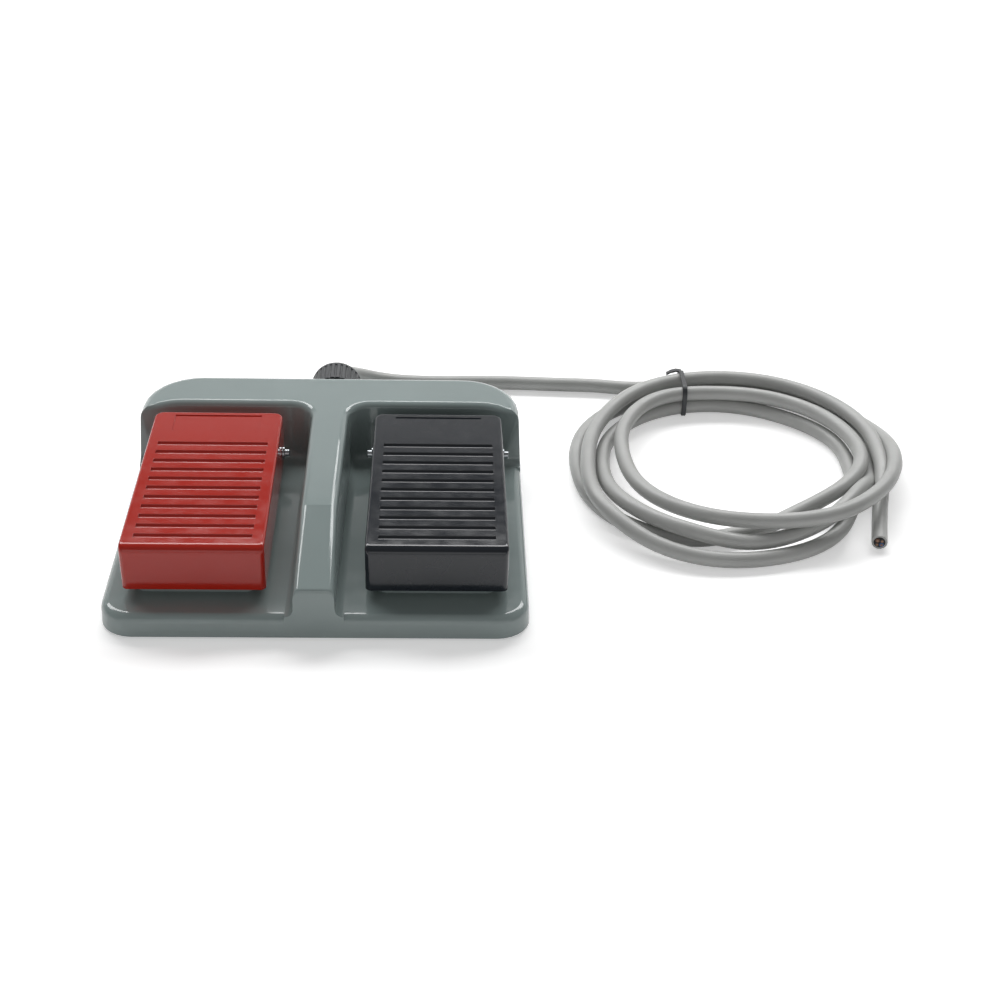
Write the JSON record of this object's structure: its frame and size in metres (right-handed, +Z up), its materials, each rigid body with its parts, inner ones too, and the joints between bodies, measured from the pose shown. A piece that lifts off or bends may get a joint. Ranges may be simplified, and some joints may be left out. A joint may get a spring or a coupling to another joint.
{
  "type": "dual foot switch",
  "caption": "Cast foot switch with two hinged, grooved pedals side by side, each pressing a sealed snap-action switch, and a coiled control cable from a rear gland.",
  "frame": {"origin": "under the middle of the casting, on the surface that the rubber feet stand on", "axes": "+X to the right of a user facing the pedals, +Y to the back where the cable leaves, +Z up"},
  "size_m": [0.365, 0.2162, 0.0384],
  "materials": {
    "grey_casting": "semi-gloss enamel on a die casting",
    "red_casting": "semi-gloss red enamel",
    "black_casting": "semi-gloss black enamel",
    "zinc_steel": "zinc plated",
    "black_rubber": "matt moulded rubber",
    "black_nylon": "satin moulded nylon",
    "black_phenolic": "moulded phenolic",
    "red_plastic": "moulded",
    "terminal_brass": "bare stamped",
    "grey_pvc": "extruded soft sheath"
  },
  "bodies": {
    "base": {"base_casting": "grey_casting", "bottom_plate": "zinc_steel", "bottom_plate_screws": "zinc_steel", "rubber_feet": "black_rubber", "gland_body": "black_nylon", "gland_seal": "black_rubber", "gland_nut": "black_nylon", "gland_locknut": "black_nylon", "cable_lead": "grey_pvc", "cable_coil": "grey_pvc", "cable_tail": "grey_pvc", "cable_tie": "black_nylon", "left_pivot_pin": "zinc_steel", "left_pin_clips": "zinc_steel", "left_rod_seal": "black_rubber", "left_return_spring": "zinc_steel", "left_switch_case": "black_phenolic", "left_switch_terminals": "terminal_brass", "left_switch_screws": "zinc_steel", "left_switch_leads": "grey_pvc", "right_pivot_pin": "zinc_steel", "right_pin_clips": "zinc_steel", "right_rod_seal": "black_rubber", "right_return_spring": "zinc_steel", "right_switch_case": "black_phenolic", "right_switch_terminals": "terminal_brass", "right_switch_screws": "zinc_steel", "right_switch_leads": "grey_pvc"},
    "left_pedal": {"left_pedal_shell": "red_casting", "left_striker": "zinc_steel"},
    "left_plunger": {"left_push_rod": "black_nylon", "left_switch_button": "red_plastic"},
    "right_pedal": {"right_pedal_shell": "black_casting", "right_striker": "zinc_steel"},
    "right_plunger": {"right_push_rod": "black_nylon", "right_switch_button": "red_plastic"}
  },
  "joints": [
    {"name": "left_pedal_hinge", "type": "hinge", "parent": "base", "child": "left_pedal", "pos_m": [-0.05, 0.027, 0.0245], "axis": [1, 0, 0], "range_deg": [0, 2.4], "stiffness_Nm_per_rad": 2, "springref_deg": -20.05, "deforming": ["left_return_spring"]},
    {"name": "left_plunger_slide", "type": "slide", "parent": "base", "child": "left_plunger", "axis": [0, 0, -1], "range_m": [0, 0.0022]},
    {"name": "right_pedal_hinge", "type": "hinge", "parent": "base", "child": "right_pedal", "pos_m": [0.05, 0.027, 0.0245], "axis": [1, 0, 0], "range_deg": [0, 2.4], "stiffness_Nm_per_rad": 2, "springref_deg": -20.05, "deforming": ["right_return_spring"]},
    {"name": "right_plunger_slide", "type": "slide", "parent": "base", "child": "right_plunger", "axis": [0, 0, -1], "range_m": [0, 0.0022]}
  ],
  "couplings": [
    {"joint": "left_plunger_slide", "follows": "left_pedal_hinge", "m_per_rad": 0.052},
    {"joint": "right_plunger_slide", "follows": "right_pedal_hinge", "m_per_rad": 0.052}
  ]
}
